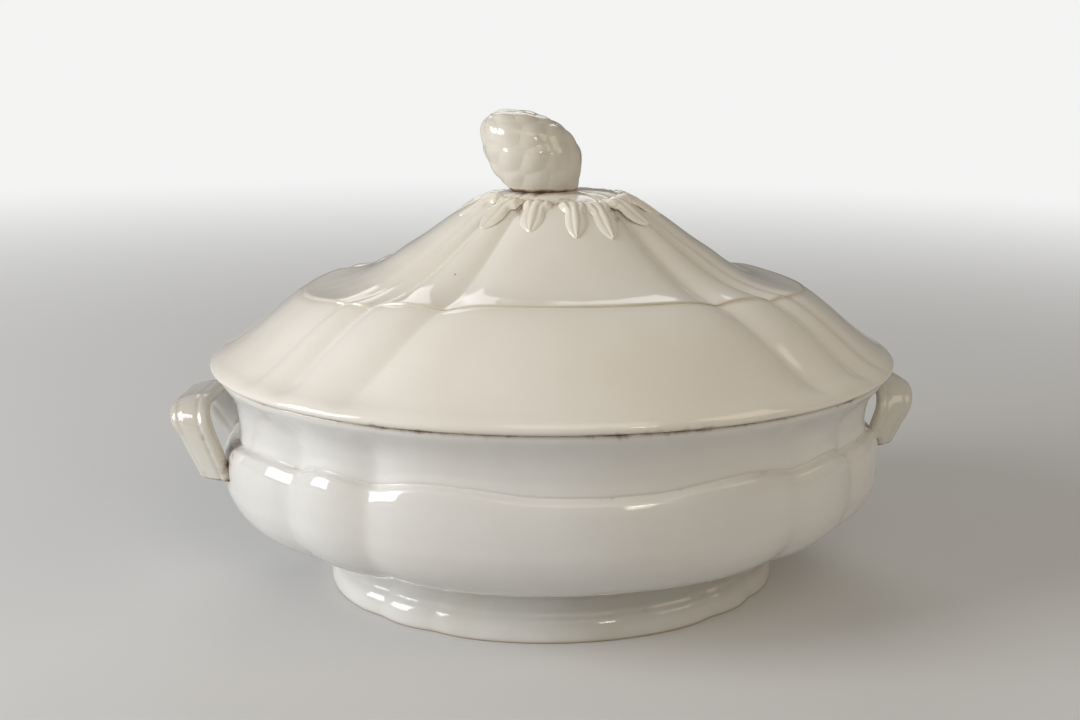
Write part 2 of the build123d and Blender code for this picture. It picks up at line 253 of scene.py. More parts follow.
def makeGlazeGroup():
    # clean glaze clouded by thicker glaze, then crazing, pinholes, and tea stains mixed with painted shade
    # laid over it
    tree, given, put = newGroup("agedGlazeAndShade", [
        ("Clean", "NodeSocketColor", (0.8, 0.8, 0.75, 1)),
        ("Pooled", "NodeSocketColor", (0.7, 0.66, 0.55, 1)),
        ("StainAndShadeColour", "NodeSocketColor", (0.16, 0.07, 0.02, 1)),
        ("Cloud", "NodeSocketFloat", 0.5),
        ("Crazing", "NodeSocketFloat", 0.5),
        ("Specks", "NodeSocketFloat", 0.5),
        ("StainAndShade", "NodeSocketFloat", 0.0),
        ("Thin", "NodeSocketFloat", 0.0),
    ], [("Colour", "NodeSocketColor"), ("Roughness", "NodeSocketFloat"), ("Height", "NodeSocketFloat")])
    ask = given.outputs
    place = addNode(tree, "ShaderNodeTexCoord").outputs["Object"]
    broad = noise(tree, place, aged["broadScale"], 3)
    fine = noise(tree, place, aged["fineScale"], 4, 0.6)
    cloud = times(tree, ramp(tree, broad, *aged["clouds"]), ask["Cloud"])
    colour = mixColours(tree, cloud, ask["Clean"], ask["Pooled"])
    mottle = times(tree, ramp(tree, fine, *aged["mottling"]), aged["mottlingShare"])
    colour = mixColours(tree, mottle, colour, ask["Pooled"])
    colour = mixColours(tree, times(tree, ask["Thin"], aged["thinShare"]), colour, aged["thinColour"])

    # crazing: the edges between the cells of a bent Voronoi net, in patches
    bend = addNode(tree, "ShaderNodeTexNoise", {"Vector": place},
                   {"Scale": aged["bendScale"], "Detail": 2.0}).outputs["Color"]
    bent = addNode(tree, "ShaderNodeVectorMath", {0: bend}, {1: aged["bendReach"]},
                   operation="MULTIPLY").outputs[0]
    bent = addNode(tree, "ShaderNodeVectorMath", {0: place, 1: bent}, operation="ADD").outputs[0]
    net = addNode(tree, "ShaderNodeTexVoronoi", {"Vector": bent}, {"Scale": aged["crazeScale"]},
                  feature="DISTANCE_TO_EDGE")
    line = ramp(tree, net.outputs["Distance"], *aged["crazeLine"], 1.0, 0.0)
    patch = ramp(tree, noise(tree, place, aged["patchScale"], 2), *aged["patches"])
    line = times(tree, times(tree, line, patch), ask["Crazing"])
    colour = mixColours(tree, times(tree, line, aged["crazeShare"]), colour, aged["crazeColour"])

    # pinholes: small rounds in a few of the cells of a net
    spots = addNode(tree, "ShaderNodeTexVoronoi", {"Vector": place}, {"Scale": aged["pinholeScale"]})
    pick = addNode(tree, "ShaderNodeSeparateColor", {0: spots.outputs["Color"]}).outputs
    near = maths(tree, "LESS_THAN", spots.outputs["Distance"], times(tree, pick[1], aged["pinholeSize"]))
    speck = times(tree, near, maths(tree, "GREATER_THAN", pick[0], aged["pinholeRarity"]))
    speck = times(tree, speck, ask["Specks"])
    colour = mixColours(tree, speck, colour, aged["pinholeColour"])

    # stains and painted shade: the piece's own mark, broken up by noise at two sizes
    blotches = times(tree, noise(tree, place, aged["blotchScale"], 2), aged["blotchShare"])
    grainy = maths(tree, "ADD", noise(tree, place, aged["grainScale"], 5, 0.65), blotches)
    broken = times(tree, maths(tree, "SUBTRACT", grainy, aged["stainShadeMiddle"]), aged["stainShadeBreak"])
    reach = maths(tree, "ADD", ask["StainAndShade"], broken)
    stainAndShade = times(tree, ramp(tree, reach, *aged["stainShadeEdge"]), ramp(tree, ask["StainAndShade"], *aged["stainShadeFade"]))
    colour = mixColours(tree, stainAndShade, colour, ask["StainAndShadeColour"])

    rough = maths(tree, "ADD", times(tree, fine, aged["roughMottling"]), aged["rough"])
    rough = maths(tree, "ADD", rough, times(tree, stainAndShade, aged["roughStainShade"]))
    rough = maths(tree, "ADD", rough, times(tree, ask["Thin"], aged["roughThin"]))
    ripple = noise(tree, place, aged["rippleScale"], 1)
    height = maths(tree, "SUBTRACT", ripple, times(tree, line, aged["crazeDip"]))
    height = maths(tree, "SUBTRACT", height, times(tree, speck, aged["pinholeDip"]))
    tree.links.new(colour, put.inputs["Colour"])
    tree.links.new(rough, put.inputs["Roughness"])
    tree.links.new(height, put.inputs["Height"])
    return tree


glazeGroup = makeGlazeGroup()


def makeGlaze(name, clean, pooled, cloud):
    material = bpy.data.materials.new(name)
    material.use_nodes = True
    tree = material.node_tree
    shader = tree.nodes["Principled BSDF"]
    shader.inputs["IOR"].default_value = aged["ior"]
    shader.inputs["Specular IOR Level"].default_value = 0.5
    stainAndShade = addNode(tree, "ShaderNodeAttribute", attribute_name="stainAndShade").outputs["Fac"]
    thin = addNode(tree, "ShaderNodeAttribute", attribute_name="thin").outputs["Fac"]
    group = addNode(tree, "ShaderNodeGroup", {"StainAndShade": stainAndShade, "Thin": thin}, {
        "Clean": (*clean, 1), "Pooled": (*pooled, 1), "StainAndShadeColour": (*aged["stainAndShadeColour"], 1),
        "Cloud": cloud, "Crazing": aged["crazing"], "Specks": aged["specks"]}, node_tree=glazeGroup)
    bump = addNode(tree, "ShaderNodeBump", {"Height": group.outputs["Height"]},
                   {"Strength": aged["rippleStrength"], "Distance": aged["ripple"]})
    tree.links.new(group.outputs["Colour"], shader.inputs["Base Color"])
    tree.links.new(group.outputs["Roughness"], shader.inputs["Roughness"])
    tree.links.new(bump.outputs[0], shader.inputs["Normal"])
    return material


# clean colour, colour where the glaze pools, how much of it is clouded
# the bowl's clean colour: partly its greyer tone, partly painted shade that keeps it darker than the lid
bowlGlaze = makeGlaze("bowlGlaze", (0.71, 0.70, 0.68), (0.65, 0.63, 0.58), 0.55)
footGlaze = makeGlaze("footGlaze", (0.71, 0.70, 0.67), (0.60, 0.565, 0.49), 0.7)
# the straps' clean colour is darkened as painted shade
handleGlaze = makeGlaze("handleGlaze", (0.62, 0.61, 0.575), (0.54, 0.50, 0.42), 0.7)
# the lid's cream: partly its own warm tint, partly painted warm light
lidGlaze = makeGlaze("lidGlaze", (0.80, 0.765, 0.70), (0.745, 0.69, 0.595), 0.6)
knobGlaze = makeGlaze("knobGlaze", (0.74, 0.715, 0.665), (0.62, 0.56, 0.45), 0.6)
leafGlaze = makeGlaze("leafGlaze", (0.82, 0.78, 0.71), (0.72, 0.64, 0.51), 0.5)
print("glazes ready")


# Bowl

bowl = {
    "columns": 460,
    "outsideRows": 160,
    "insideRows": 36,
    "profileSteps": 2000,
    "beltCrowding": (5, 6),  # how many more rows there, and over what height
    "lipCrowding": (2, 4),
    "wall": 5.0,
    "floor": 6.0,
    "groove": 3.1,  # depth
    "grooves": ((math.radians(54), 0.085), (math.radians(37), 0.08)),  # angle and width
    "insideGroove": 0.5,  # how much of the grooves shows inside
    "narrowPanel": 0.5,  # how much deeper the panel between two grooves lies
    "beltDegrees": (0, 11, 23, 31, 37.5, 41, 45, 49, 53.5, 57, 60, 65, 71, 81, 90),
    "beltHeights": (72.4, 73.6, 76.9, 77.6, 76.3, 79.0, 79.8, 78.6, 76.9, 78.5, 80.0, 81.0, 80.3,
                    77.7, 77.2),
    "beltMiddle": 77.0,
    "beltSpread": 9.0,  # how far from the belt line the wall follows its waves
    "beltRise": 0.6,  # of the pressed line over the top of the belly
    "beltCut": 1.05,  # its depth
    "beltWidth": 0.8,
    "stainsAndShade": {"lip": 0.40, "underLip": 0.16, "handleRoots": 0.7, "footJoint": 0.24, "belt": 0.17},
    "lipWear": 0.5,
}
# half length and height from the base up: tucked under, full belly, a step, the neck and the lip
rim, half, base = plan["rimHeight"], plan["rimHalf"], plan["footHeight"]
bowlOutside = [
    (40.0, base), (94.0, base), (104.0, base + 1.3), (117.0, base + 4.2), (130.0, base + 8.6),
    (141.5, base + 14.2), (149.2, base + 20.4), (153.6, base + 27.0), (155.6, base + 34.0),
    (155.8, base + 41.0), (154.9, rim - 35.0), (153.4, rim - 31.2), (152.3, rim - 29.6), (150.0, rim - 28.6),
    (148.6, rim - 27.0), (147.9, rim - 22.5), (148.5, rim - 17.0), (150.2, rim - 11.5), (152.6, rim - 7.4),
    (154.6, rim - 4.6), (155.6, rim - 3.0), (half - 0.05, rim - 1.7), (half - 0.2, rim - 0.6),
    (half - 1.0, rim - 0.12),
]


def beltHeight(angle):  # height of the top of the belly, which rises and falls round the oval
    return curveThrough(bowl["beltDegrees"], bowl["beltHeights"], np.degrees(foldAngle(angle)))


def bowlSurface():
    # ring by ring: ovals up the outside profile to the lip, then down a second profile inside;
    # grooves and the belt line draw the outside in, square to its outline
    angle = np.linspace(0, fullTurn, bowl["columns"], endpoint=False)[None, :]
    fine = np.linspace(0, 1, bowl["profileSteps"])
    level = alongProfile(bowlOutside, fine)[1]
    (beltMore, beltOver), (lipMore, lipOver) = bowl["beltCrowding"], bowl["lipCrowding"]
    density = (1 + beltMore * np.exp(-((level - bowl["beltMiddle"]) / beltOver) ** 2)
               + lipMore * np.exp(-((level - rim) / lipOver) ** 2))
    run = np.concatenate([[0], np.cumsum(density[1:])])  # rows crowd at the belt line and the lip
    share = np.interp(np.linspace(0, run[-1], bowl["outsideRows"]), run, fine)[:, None]
    halfLength, height = (v + 0 * angle for v in alongProfile(bowlOutside, share))
    shift = beltHeight(angle) - bowl["beltMiddle"]
    height = height + shift * np.exp(-((height - bowl["beltMiddle"]) / bowl["beltSpread"]) ** 2)
    fade = smoothStep(rim - 1.5, rim - 16, height) * smoothStep(base - 1, base + 9, height)
    sunk = sum(grooveDepth(angle, at, wide) for at, wide in bowl["grooves"])
    cut = np.exp(-((height - beltHeight(angle) - bowl["beltRise"]) / bowl["beltWidth"]) ** 2)
    inward = bowl["groove"] * fade * sunk + bowl["beltCut"] * cut
    narrow = bowl["narrowPanel"] * np.cos(4 * foldAngle(angle)) * fade  # below 0 between the two grooves
    x, y = ovalPoint(angle, halfLength, plan["ratio"], inward - np.minimum(narrow, 0))
    outside = np.stack([x, y, height], -1)

    share = np.linspace(0, 1, bowl["insideRows"])[:, None]
    wall = bowl["wall"]
    path = [(half - 2.2, rim), (half - wall + 0.6, rim - 0.1), (half - wall - 0.2, rim - 1.2),
            (150.2, rim - 5), (147.0, rim - 10), (144.0, rim - 17), (143.4, rim - 25), (145.6, rim - 31),
            (147.8, base + 40), (146.4, base + 28), (141.0, base + 19.5), (131.0, base + 12.8),
            (116.0, base + 8.4), (98.0, base + bowl["floor"] + 0.4), (78.0, base + bowl["floor"]),
            (30.0, base + bowl["floor"])]
    halfLength, height = (v + 0 * angle for v in alongProfile(path, share))
    fade = smoothStep(rim - 4, rim - 20, height) * smoothStep(base + 8, base + 16, height)
    x, y = ovalPoint(angle, halfLength, plan["ratio"], bowl["insideGroove"] * bowl["groove"] * fade * sunk)
    return np.concatenate([outside, np.stack([x, y, height], -1)]), angle


rings, angle = bowlSurface()
x, y, z = rings[..., 0], rings[..., 1], rings[..., 2]
stainsAndShade = bowl["stainsAndShade"]
# brown stain and painted shade in the gap under the lid, spreading down the neck under its overhang
seam = (np.exp(-((z - rim) / 1.0) ** 2) * stainsAndShade["lip"]
        + np.exp(-((z - rim) / 4) ** 2) * stainsAndShade["underLip"])
# brown stain and painted shade in the crevice behind the straps' legs
roots = np.exp(-((np.abs(x) - 149) / 7) ** 2 - ((np.abs(y) - 27) / 7) ** 2 - ((z - 66) / 12) ** 2)
roots = roots * stainsAndShade["handleRoots"]  # where the straps' legs stand
joint = np.exp(-((z - base) / 1.6) ** 2) * smoothStep(70, 96, np.hypot(x, y / plan["ratio"]))
joint = joint * stainsAndShade["footJoint"]
beltLine = np.exp(-((z - beltHeight(angle) - bowl["beltRise"]) / 0.7) ** 2) * stainsAndShade["belt"]
outsideRow = np.arange(len(rings))[:, None] < bowl["outsideRows"]
bowlPiece = layMesh("bowlShell", rings, bowlGlaze, marks={
    "stainAndShade": np.clip(seam + (roots + joint + beltLine) * outsideRow, 0, 1),
    "thin": np.exp(-((z - rim + 0.4) / 0.9) ** 2) * bowl["lipWear"]})
settle(bowlPiece, "tureen", "bowl_glaze", "bowl")


# Foot

foot = {
    "columns": 560,
    "rows": 64,
    "groove": 1.5,  # depth
    "grooves": ((math.radians(54), 0.09), (math.radians(37), 0.085)),  # angle and width
    "grooveFade": 7.0,  # below the foot's top, where the grooves run out
    "stepHeight": 10.6,
    "stainsAndShade": {"bowlJoint": 0.22, "step": 0.14},
}
# half length and height, up the outside, over the top and down the recess
wide = plan["footHalf"]
footLoop = [
    (wide - 0.5, 0.0), (wide - 0.05, 0.7), (wide, 2.2), (wide - 0.4, 4.6), (wide - 1.5, 7.8),
    (wide - 3.0, 9.7), (wide - 4.1, 10.5), (wide - 4.6, 11.2), (wide - 5.4, 12.2), (wide - 7.2, 13.6),
    (wide - 10.0, 16.4), (wide - 12.4, 19.0), (wide - 13.6, base), (wide - 19.6, base),
    (wide - 17.6, 16.6), (wide - 12.0, 12.0), (wide - 7.8, 8.0), (wide - 6.6, 4.0), (wide - 6.2, 0.8),
    (wide - 5.4, 0.0), (wide - 3.4, 0.0),
]


def footSurface():
    # the closed profile carried round the oval; grooves draw it in, square to its outline
    angle = np.linspace(0, fullTurn, foot["columns"], endpoint=False)[None, :]
    share = np.linspace(0, 1, foot["rows"], endpoint=False)[:, None]
    halfLength, height = (v + 0 * angle for v in alongProfile(footLoop + footLoop[:1], share))
    sunk = sum(grooveDepth(angle, at, spread) for at, spread in foot["grooves"])
    fade = smoothStep(base, base - foot["grooveFade"], height)
    x, y = ovalPoint(angle, halfLength, plan["ratio"], foot["groove"] * sunk * fade)
    return np.stack([x, y, height], -1)


rings = footSurface()
z = rings[..., 2]
joint = np.exp(-((z - base) / 2.0) ** 2) * foot["stainsAndShade"]["bowlJoint"]
step = np.exp(-((z - foot["stepHeight"]) / 1.4) ** 2) * foot["stainsAndShade"]["step"]
footPiece = layMesh("footRing", rings, footGlaze, loop=True, marks={
    "stainAndShade": np.clip(joint + step, 0, 1),
    "thin": np.exp(-(z / 0.9) ** 2)})  # worn where it stands
settle(footPiece, "tureen", "foot_glaze", "foot")


# Lid

lid = {
    "columns": 620,
    "edgeRows": 60,
    "crownRows": 60,
    "insideRows": 28,
    "edgeCrowding": 1.15,  # above 1, rows crowd at the rounded edge
    "wall": 4.5,
    "valley": 3.2,  # depth
    # a broad valley towards the front, a narrower one towards the end, and a thin one beside that:
    # width, depth's share, sharpness
    "valleys": ((0.082, 1.0, 1.35), (0.060, 1.0, 1.35), (0.040, 0.42, 1.5)),
    "thinAside": 8.5,  # degrees from the end valley to the thin one
    # degrees round the oval of the front and the end valley at the start, and how far they turn on the way up
    "edgeTurns": ((49.5, 8.0), (36.5, 1.5)),
    "crownTurns": ((57.5, -4.5), (38, -4)),
    "crownWiden": 0.35,
    "edgeSink": (0.55, 0.8),  # of the depth, how much goes inwards and downwards
    "crownSink": (0.35, 0.9),
    "endSharpness": 1.9,
    "ringHalf": 117,  # half length of the raised ring
    "wreathRatio": 0.88,  # width over length of the oval at the wreath
    "stainsAndShade": {"seat": 0.36, "overSeat": 0.16, "wreath": 0.30, "knobJoint": 0.55},
    "edgeWear": 0.4,
    "ringPooled": 0.5,
}
edge, crown = plan["lidHalf"], plan["crownHeight"]
# each row: half length and height at the ends of the oval, then at its front and back
edgeRows = np.array([
    (edge - 2.9, rim + 0.10, edge - 2.9, rim + 0.10), (edge - 1.7, rim + 0.28, edge - 1.7, rim + 0.28),
    (edge - 0.55, rim + 1.0, edge - 0.55, rim + 1.0),
    (edge, rim + 2.3, edge, rim + 2.4), (edge - 1.9, rim + 4.7, edge - 1.9, rim + 5.0),
    (edge - 6.4, rim + 7.3, edge - 7.4, rim + 9.0), (edge - 13.4, rim + 12.0, edge - 15.9, rim + 16.0),
    (edge - 21.4, rim + 18.0, edge - 25.4, rim + 24.4), (edge - 28.4, rim + 23.8, edge - 34.4, rim + 31.5),
    (edge - 34.9, rim + 28.8, edge - 42.9, rim + 36.9), (edge - 39.4, rim + 31.9, edge - 49.4, rim + 39.8),
    (edge - 42.4, rim + 33.2, edge - 53.4, rim + 40.9),
])
crownRows = np.array([
    (117.0, 139.9, 105.5, 147.6), (106.0, 141.3, 97.0, 149.4), (94.0, 144.5, 88.0, 152.2),
    (81.6, 150.6, 78.0, 156.4), (71.8, 157.4, 69.0, 161.0), (63.0, 163.0, 61.5, 165.4),
    (56.0, 168.0, 55.0, 169.4), (48.7, 173.1, 48.0, 173.9), (39.5, 178.4, 39.5, 178.8),
    (31.0, 181.8, 31.0, 182.1), (22.0, 184.2, 22.0, 184.2), (14.0, crown - 0.3, 14.0, crown - 0.3),
    (5.0, crown - 0.05, 5.0, crown - 0.05),
])


def endShare(angle):  # 1 at the ends of the oval, 0 at its front and back
    return (np.cos(angle) ** 2) ** lid["endSharpness"]


def lidRings(rows, shares, angle):
    # half length and height at shares of the outline, blended from the end outline to the front one
    endHalf, endHeight = alongProfile(rows[:, :2], shares)
    frontHalf, frontHeight = alongProfile(rows[:, 2:], shares)
    mix = endShare(angle)
    return frontHalf + (endHalf - frontHalf) * mix, frontHeight + (endHeight - frontHeight) * mix


def lidRatio(halfLength):  # the oval grows rounder towards the crown
    rounder = np.clip(1 - halfLength / lid["ringHalf"], 0, 1)
    return plan["ratio"] + (plan["crownRatio"] - plan["ratio"]) * rounder


def valleyDepth(angle, share, turns, spread):
    # the front, end and thin valley added up; each one's line turns and its width spreads with the share
    (front, frontTurn), (end, endTurn) = turns
    endDegrees = end + endTurn * share
    lines = (front + frontTurn * share, endDegrees, endDegrees - lid["thinAside"])
    return sum(depth * grooveDepth(angle, np.radians(line), width * spread, cusp)
               for line, (width, depth, cusp) in zip(lines, lid["valleys"]))


def lidSurface():
    # ovals up two profiles, one at the ends and one at the front and back, blended round the oval
    angle = np.linspace(0, fullTurn, lid["columns"], endpoint=False)[None, :]
    # outside, from the seat up to the ring
    share = np.linspace(0, 1, lid["edgeRows"])[:, None] ** lid["edgeCrowding"]
    halfLength, height = lidRings(edgeRows, share, angle)
    sunk = lid["valley"] * smoothStep(0.03, 0.30, share) * valleyDepth(angle, share, lid["edgeTurns"], 1.0)
    inwards, downwards = lid["edgeSink"]
    x, y = ovalPoint(angle, halfLength, plan["ratio"], inwards * sunk)
    lower = np.stack([x, y, height - downwards * sunk], -1)
    # from the ring to the crown
    share = np.linspace(0, 1, lid["crownRows"])[:, None]
    halfLength, height = lidRings(crownRows, share, angle)
    sunk = lid["valley"] * smoothStep(1.0, 0.55, share) * valleyDepth(
        angle, share, lid["crownTurns"], 1 + lid["crownWiden"] * share)
    inwards, downwards = lid["crownSink"]
    x, y = ovalPoint(angle, halfLength, lidRatio(halfLength), inwards * sunk)
    upper = np.stack([x, y, height - downwards * sunk], -1)
    # inside, a wall's thickness under the dome, from the crown down to the verge
    wall = lid["wall"]
    hollowRows = np.array([
        (6.0, crown - wall, 6.0, crown - wall), (22.0, 179.4, 22.0, 179.4), (38.0, 174.4, 38.0, 174.4),
        (54.0, 163.8, 53.0, 165.0), (70.0, 153.2, 67.0, 156.4), (92.0, 141.4, 86.0, 148.0),
        (112.0, 135.4, 100.0, 143.6), (122.0, 128.8, 112.0, 136.8), (132.0, 119.6, 122.0, 127.6),
        (139.0, 112.6, 133.0, 117.0), (140.4, rim + 2.0, 140.2, rim + 2.0),
        (140.4, rim + 0.1, 140.4, rim + 0.1)])
    share = np.linspace(0, 1, lid["insideRows"])[:, None]
    halfLength, height = lidRings(hollowRows, share, angle)
    x, y = ovalPoint(angle, halfLength, lidRatio(halfLength), 0.0)
    inside = np.stack([x, y, height], -1)
    return np.concatenate([inside, lower, upper])


rings = lidSurface()
x, y, z = rings[..., 0], rings[..., 1], rings[..., 2]
row = np.arange(len(rings))[:, None]
outsideRow = row >= lid["insideRows"]
ringRow = lid["insideRows"] + lid["edgeRows"] - 0.5
pooled = np.exp(-((row - ringRow) / 1.6) ** 2) * lid["ringPooled"]  # glaze pooled along the raised ring
stainsAndShade = lid["stainsAndShade"]
# brown stain and painted shade along the lid's seat over the gap
seam = (np.exp(-((z - rim - 0.1) / 0.8) ** 2) * stainsAndShade["seat"]
        + np.exp(-((z - rim) / 2.8) ** 2) * stainsAndShade["overSeat"])
spread = np.hypot(x, y / lid["wreathRatio"])
# brown tone and painted shade among the leaves of the wreath
wreath = np.exp(-((spread - 36) / 11) ** 2) * stainsAndShade["wreath"] * outsideRow
# painted shade in the crevice round the knob's foot
knobSeam = np.exp(-((np.hypot((x + 2.0) / 1.15, y) - 16.5) / 2.2) ** 2) * stainsAndShade["knobJoint"] * (z > 178)
lidPiece = layMesh("lidDome", rings, lidGlaze, marks={
    "stainAndShade": np.clip(seam + wreath + knobSeam, 0, 1),
    "thin": np.exp(-((z - rim - 0.3) / 0.8) ** 2) * lid["edgeWear"] + pooled})
settle(lidPiece, "lid", "lid_glaze", "lid_dome")


# Verge: the ring under the lid that drops inside the bowl's mouth

verge = {"columns": 400, "rows": 28, "thickness": 4.0, "round": 1.2, "intoLid": 0.3}


def vergeSurface():
    # a bar with rounded lower corners carried round the oval, inwards from the CAD ring's outside
    angle = np.linspace(0, fullTurn, verge["columns"], endpoint=False)[None, :]
    low, high, corner = vergeLow[2], rim + verge["intoLid"], verge["round"]
    outer, inner, bevel = 0.0, verge["thickness"], 0.35
    loop = np.array([
        (outer, low + corner), (outer, high), (inner, high), (inner, low + corner),
        (inner - bevel, low + bevel), (inner - corner, low), (outer + corner, low),
        (outer + bevel, low + bevel)])
    loop = np.vstack([loop, loop[:1]])
    run = np.concatenate([[0], np.cumsum(np.hypot(*np.diff(loop, axis=0).T))])
    where = np.linspace(0, run[-1], verge["rows"], endpoint=False)[:, None]
    inward = np.interp(where, run, loop[:, 0]) + 0 * angle
    height = np.interp(where, run, loop[:, 1]) + 0 * angle
    # the CAD ring is an oval moved inwards square to its outline; this is by how much
    offset = (plan["ratio"] * vergeHigh[0] - vergeHigh[1]) / (1 - plan["ratio"])
    x, y = ovalPoint(angle, vergeHigh[0] + offset, plan["ratio"], inward + offset)
    return np.stack([x, y, height], -1)


vergePiece = layMesh("lidVerge", vergeSurface(), lidGlaze, loop=True)
settle(vergePiece, "lid", "lid_glaze", "lid_verge")


# Knob: a plump bud of overlapping scales that leans over

knob = {
    "columns": 320,
    "rows": 190,
    # height over the crown, half width along X, how far the middle leans to the left of the lid's centre
    "profile": ((-0.3, 15.0, 7.0), (1.8, 17.0, 7.7), (3.9, 18.5, 8.5), (7.5, 20.4, 9.6),
                (12.9, 21.9, 11.0), (17.4, 22.4, 12.3), (19.6, 22.1, 13.0), (25.0, 20.7, 15.3),
                (28.2, 18.9, 17.0), (31.3, 15.5, 18.8), (34.0, 10.8, 20.6), (35.5, 5.6, 22.2),
                (35.9, 1.2, 22.8)),
    "depthShare": 0.91,  # width front to back over width along X
    "lean": math.radians(48),  # of the bud's own axis from upright
    "heart": (-12.0, 16.0),  # the point the scales face away from: along X, and over the crown
    "scale": 1.0,  # how far the scales stand out
    "petals": 7,  # in each row
    # angle of each row from the tip, and its stagger
    "petalRows": ((0.36, 0.0), (0.76, 0.5), (1.16, 0.0), (1.56, 0.5), (1.96, 0.0), (2.36, 0.5)),
    "petalTurn": 0.35,  # turns the whole pattern, in petals
    "petalSize": (0.40, 0.27),  # across and down, in radians
    "stainsAndShade": {"foot": 0.85, "betweenScales": 0.05},
}


def knobSurface():
    # level ovals stacked up a leaning line, then drawn in between the humps of the scales,
    # which are set out in rings about the bud's own axis
    around = np.linspace(0, fullTurn, knob["columns"], endpoint=False)[None, :]
    heights, halves, leans = np.array(knob["profile"]).T
    share = np.linspace(0, 1, knob["rows"])[:, None]
    run = np.concatenate([[0], np.cumsum(np.hypot(np.diff(heights), np.diff(halves)))]) + 1e-9
    run /= run[-1]
    height, halfWidth = curveThrough(run, heights, share), curveThrough(run, halves, share)
    middle = np.interp(height, heights, leans)
    x = halfWidth * np.cos(around) - middle
    y = halfWidth * knob["depthShare"] * np.sin(around)
    z = height + plan["crownHeight"] + 0 * around
    heart = np.array([knob["heart"][0], 0.0, plan["crownHeight"] + knob["heart"][1]])
    away = unit(np.stack([x, y, z], -1) - heart)
    lean = knob["lean"]
    axis = np.array([-math.sin(lean), 0, math.cos(lean)])
    down = np.arccos(np.clip(away @ axis, -1, 1))
    turn = np.arctan2(away[..., 1], away[..., 0] * math.cos(lean) + away[..., 2] * math.sin(lean))
    step = fullTurn / knob["petals"]
    wide, tall = knob["petalSize"]
    humps = np.zeros_like(x)
    for centre, stagger in knob["petalRows"]:
        aside = (turn - (stagger - knob["petalTurn"]) * step + step / 2) % step - step / 2
        humps = np.maximum(humps, np.exp(-(np.abs(aside) / wide) ** 2 - (np.abs(down - centre) / tall) ** 2))
    drawn = knob["scale"] * (1 - humps) * smoothStep(0, 5, height)
    places = np.stack([x, y, z], -1) - away * drawn[..., None]
    return places, humps


rings, humps = knobSurface()
above = rings[..., 2] - plan["crownHeight"]
# painted shade in the crevice at the knob's foot, and a little darker between the scales
atFoot, between = knob["stainsAndShade"].values()
knobPiece = layMesh("budKnob", rings, knobGlaze, marks={
    "stainAndShade": np.clip(np.exp(-(above / 1.1) ** 2) * atFoot + (1 - humps) * between, 0, 1)})
settle(knobPiece, "lid", "knob_glaze", "knob")


# Leaves: a wreath of pointed, lobed leaves that lie on the crown

leaf = {
    "lengthRows": 64,
    "acrossColumns": 48,
    "root": 24.5,  # distance from the lid's middle
    "relief": 3.5,
    "reliefShares": (0.8, 0.2),  # at the ends of the oval, and how much more in front and less behind
    "sunk": 0.8,  # how far its underside lies in the lid
    # share of the length, half width of the blade: two small lobes, then the long middle one
    "outline": ((0.0, 3.0), (0.10, 4.8), (0.20, 6.2), (0.30, 6.8), (0.38, 6.2), (0.43, 5.0), (0.48, 4.7),
                (0.58, 5.3), (0.68, 5.4), (0.78, 4.9), (0.87, 3.8), (0.94, 2.4), (0.985, 1.1), (1.0, 0.4)),
    "widthPlay": 0.07,  # no two leaves are quite as wide
    "bow": 1.3,  # nor bent alike
    # place across the half width, spread and height in the blade's own section
    "rib": (0.0, 0.30, 0.22),
    "lobe": (0.66, 0.24, 0.34),
    "vein": (0.36, 0.10, 0.16),
    "blade": 0.80,
    # brown tone and painted shade where the leaf meets the lid, less as it rises
    "stainAndShade": (0.32, 0.28),  # at its edge, and how much less for each millimetre that it rises
    # node: tip's distance from the middle and degrees round from the node's own place, where they differ
    "tips": {"leaf_01": (49.0, -3.0), "leaf_14": (47.0, 3.0), "leaf_13": (45.5, 3.0), "leaf_12": (48.5, 1.5)},
    "tip": 47.0,
}


def crownLevel(x, y):
    # height of the lid's crown over a point, from the half length of the oval through it
    size = np.hypot(x, y / lid["wreathRatio"])
    for _ in range(4):  # the ratio depends on the size that is looked for, so it settles in a few rounds
        size = np.hypot(x, y / lidRatio(size))
    mix = endShare(np.arctan2(y / lidRatio(size), x))
    endLevel = np.interp(size, crownRows[::-1, 0], crownRows[::-1, 1])
    frontLevel = np.interp(size, crownRows[::-1, 2], crownRows[::-1, 3])
    return frontLevel + (endLevel - frontLevel) * mix


def crossHump(off, place, spread, height):  # a smooth hump across the leaf
    return np.exp(-((off - place) / spread) ** 2) * height


